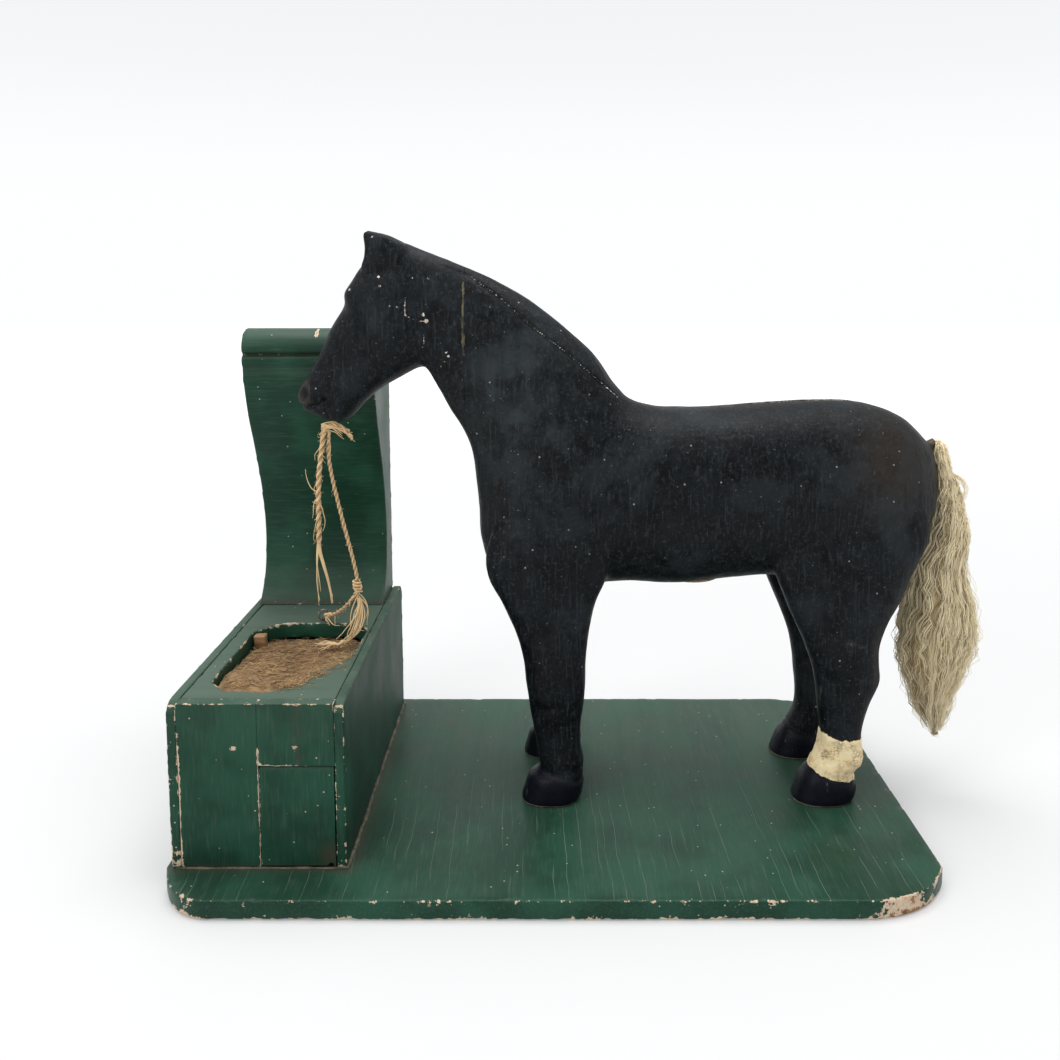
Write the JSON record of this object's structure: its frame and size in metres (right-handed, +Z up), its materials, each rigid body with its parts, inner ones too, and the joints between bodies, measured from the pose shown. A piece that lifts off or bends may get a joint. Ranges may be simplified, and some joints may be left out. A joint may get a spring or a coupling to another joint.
{
  "type": "figural animal coin bank",
  "caption": "Carved wooden horse coin bank on a board base, head tied to a manger with a trough, back board and small door, coin slot along the croup, hair tail.",
  "frame": {"origin": "centre of the flat underside of the platform", "axes": "+X along the platform towards the horse's tail, +Y towards the far side, +Z up"},
  "size_m": [0.4325, 0.2286, 0.3224],
  "materials": {
    "green_paint": "aged dark green enamel on wood, satin, crazed, chipped to cream primer and bare wood at the edges",
    "black_paint": "aged blue-black paint on carved wood, satin, dusty, with a cream painted sock on the near hind pastern",
    "bare_wood": "raw aged pine",
    "iron": "dull steel wire, nails and screws",
    "hay": "dry brown chopped hay",
    "hair": "cream crimped mohair",
    "twine": "golden jute twine, frayed"
  },
  "bodies": {
    "stand": {"platform": "green_paint", "hoof_screw_near_fore": "iron", "hoof_screw_near_hind": "iron", "hoof_screw_far_fore": "iron", "hoof_screw_far_hind": "iron", "manger_left_side": "green_paint", "manger_right_side": "green_paint", "front_left_board": "green_paint", "front_upper_board": "green_paint", "front_nail_left": "iron", "front_nail_right": "iron", "trough_floor": "bare_wood", "manger_back_wall": "green_paint", "door_pivot_nail_left": "iron", "door_pivot_nail_right": "iron", "manger_top_board": "green_paint", "hitching_eye": "iron", "trough_corner_block": "bare_wood", "hay": "hay", "back_board": "green_paint", "horse_head": "black_paint", "horse_near_half": "black_paint", "horse_far_half": "black_paint", "belly_plug": "bare_wood", "neck_dowel_near": "bare_wood", "neck_dowel_far": "bare_wood", "tail_peg": "bare_wood", "lead_drop": "twine", "lead_to_eye": "twine", "lead_to_hay": "twine", "lead_frayed_end": "twine", "lead_lip_wrap": "twine", "lead_knot_upper": "twine", "lead_knot_hay": "twine"},
    "door": {"manger_door": "green_paint"},
    "tail": {"tail": "hair"}
  },
  "joints": [
    {"name": "door_hinge", "type": "hinge", "parent": "stand", "child": "door", "pos_m": [-0.125, -0.0848, 0.0585], "axis": [-1, 0, 0], "range_deg": [0, 90]},
    {"name": "tail_swing", "type": "hinge", "parent": "stand", "child": "tail", "pos_m": [0.214, 0.01, 0.203], "axis": [0, -1, 0], "range_deg": [0, 50]}
  ]
}
